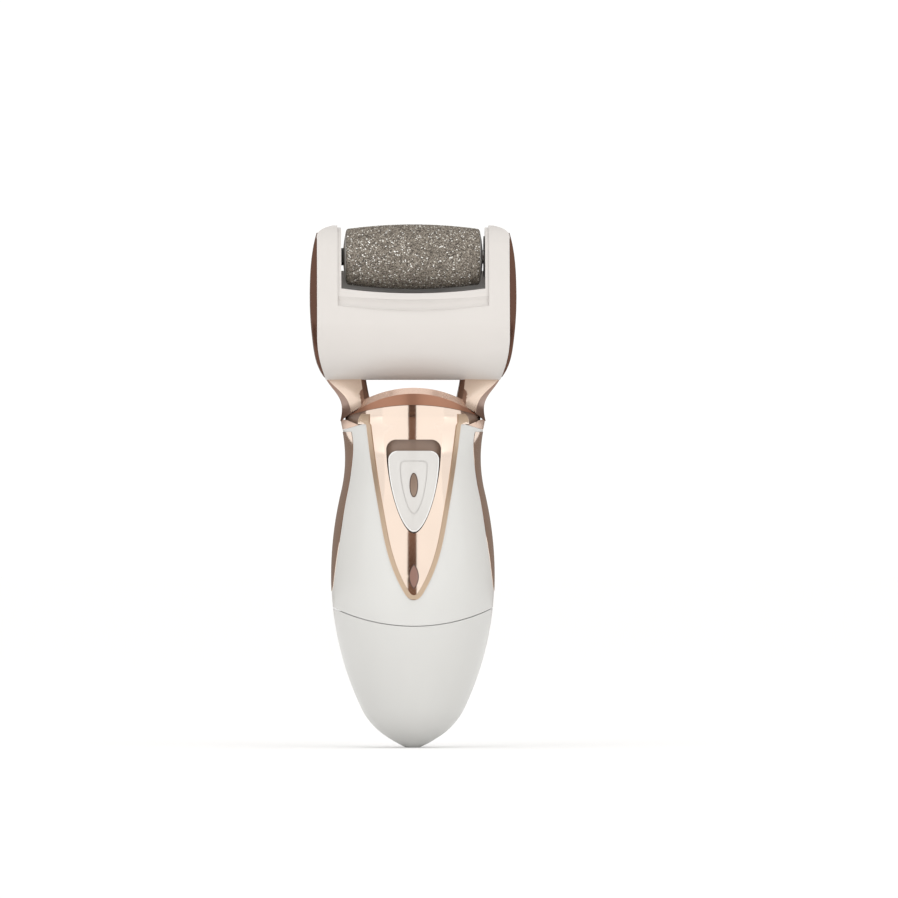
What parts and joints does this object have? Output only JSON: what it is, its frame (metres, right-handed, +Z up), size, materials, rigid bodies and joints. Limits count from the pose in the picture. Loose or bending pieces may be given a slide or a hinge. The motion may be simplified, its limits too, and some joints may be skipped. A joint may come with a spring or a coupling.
{
  "type": "electric callus remover",
  "caption": "Hand-held electric foot file: rounded handle with a slide switch, twin struts and a cradle head holding a motor-driven abrasive roller.",
  "frame": {"origin": "centre of the resting flat on the handle's tip", "axes": "+Z up the handle to the roller, +Y to the back, +X to the object's own left-to-right in front view"},
  "size_m": [0.059, 0.0472, 0.1499],
  "materials": {
    "white_plastic": "gloss, faintly pearly",
    "rose_gold_plating": "rose-gold electroplating, glossy",
    "brown_plastic": "satin",
    "pearl_plastic": "pearl satin",
    "bronze": "metallic",
    "black_plastic": "satin",
    "lens": "clear tinted",
    "led": "clear",
    "board": "solder mask",
    "grey_plastic": "satin",
    "cell": "printed sleeve, no text",
    "spring_steel": "bright",
    "cream_plastic": "rose-gold plating, satin",
    "steel": "zinc",
    "head_white": "warm white, satin gloss",
    "abrasive": "bonded mineral grit",
    "cap_white": "gloss",
    "brass": "bright",
    "gear_plastic": "acetal",
    "motor_steel": "zinc",
    "magnet": "ferrite and laminations",
    "wire": "insulated wire"
  },
  "bodies": {
    "handle": {"front_shell": "white_plastic", "back_shell": "white_plastic", "left_side_trim": "rose_gold_plating", "right_side_trim": "rose_gold_plating", "front_panel": "rose_gold_plating", "recess_plate": "brown_plastic", "power_switch": "black_plastic", "indicator_lens": "lens", "indicator_led": "led", "circuit_board": "board", "battery_tray": "grey_plastic", "left_cell": "cell", "right_cell": "cell", "tray_contacts": "spring_steel", "crown": "rose_gold_plating", "neck_core": "brown_plastic", "right_collar": "cream_plastic", "left_collar": "cream_plastic", "left_strut": "rose_gold_plating", "right_strut": "rose_gold_plating", "shell_screws": "steel", "strut_screws": "steel", "head_screws": "steel", "head_front_shell": "head_white", "head_back_shell": "head_white", "drive_cover": "rose_gold_plating", "release_cover": "rose_gold_plating", "button_spring": "spring_steel", "lever_pivot": "steel", "bearing_disc": "black_plastic", "output_bush": "brass", "gear_plate": "steel", "gear_axles": "steel", "motor_can": "motor_steel", "motor_magnets": "magnet", "motor_end_bell": "black_plastic", "motor_terminals": "brass", "motor_leads": "wire"},
    "battery_cap": {"battery_cap": "white_plastic", "cap_contact": "spring_steel", "cap_springs": "spring_steel"},
    "slider": {"switch_slider": "pearl_plastic", "slider_inlay": "bronze", "slider_stem": "black_plastic", "switch_lever": "black_plastic"},
    "roller": {"roller_sleeve": "abrasive", "roller_core": "grey_plastic", "roller_left_cap": "cap_white", "roller_right_cap": "cap_white"},
    "spindle": {"drive_spindle": "black_plastic", "output_gear": "gear_plastic"},
    "idler": {"idler_gear": "gear_plastic"},
    "compound": {"compound_gear": "gear_plastic"},
    "rotor": {"motor_shaft": "steel", "motor_armature": "magnet", "pinion": "brass"},
    "button": {"release_button": "head_white"},
    "lever": {"release_lever": "steel"},
    "bearing_pin": {"retracting_pin": "steel"}
  },
  "joints": [
    {"name": "roller_spin", "type": "hinge", "parent": "handle", "child": "roller", "pos_m": [0, 0, 0.1406], "axis": [1, 0, 0], "continuous": true},
    {"name": "spindle_spin", "type": "hinge", "parent": "handle", "child": "spindle", "pos_m": [0, 0, 0.1406], "axis": [1, 0, 0], "continuous": true},
    {"name": "idler_spin", "type": "hinge", "parent": "handle", "child": "idler", "pos_m": [0, 0.00464, 0.13289], "axis": [1, 0, 0], "continuous": true},
    {"name": "compound_spin", "type": "hinge", "parent": "handle", "child": "compound", "pos_m": [0, 0, 0.127], "axis": [1, 0, 0], "continuous": true},
    {"name": "rotor_spin", "type": "hinge", "parent": "handle", "child": "rotor", "pos_m": [0, 0, 0.117], "axis": [1, 0, 0], "continuous": true},
    {"name": "power_slide", "type": "slide", "parent": "handle", "child": "slider", "axis": [0, 0, 1], "range_m": [0, 0.0028]},
    {"name": "cap_pull", "type": "slide", "parent": "handle", "child": "battery_cap", "axis": [0, 0, -1], "range_m": [0, 0.045]},
    {"name": "release_press", "type": "slide", "parent": "handle", "child": "button", "axis": [-1, 0, 0], "range_m": [0, 0.00152], "stiffness_N_per_m": 300, "springref_m": -0.002, "deforming": ["button_spring"]},
    {"name": "lever_rock", "type": "hinge", "parent": "handle", "child": "lever", "pos_m": [0.0243, 0, 0.1354], "axis": [0, 1, 0], "range_deg": [0, 20]},
    {"name": "pin_retract", "type": "slide", "parent": "handle", "child": "bearing_pin", "axis": [1, 0, 0], "range_m": [0, 0.0018]}
  ],
  "couplings": [
    {"joint": "spindle_spin", "follows": "roller_spin", "ratio": 1},
    {"joint": "idler_spin", "follows": "roller_spin", "ratio": -1.25},
    {"joint": "compound_spin", "follows": "roller_spin", "ratio": 1.4286},
    {"joint": "rotor_spin", "follows": "roller_spin", "ratio": -4.2857},
    {"joint": "lever_rock", "follows": "release_press", "rad_per_m": 225.03},
    {"joint": "pin_retract", "follows": "release_press", "ratio": 1.1817}
  ]
}
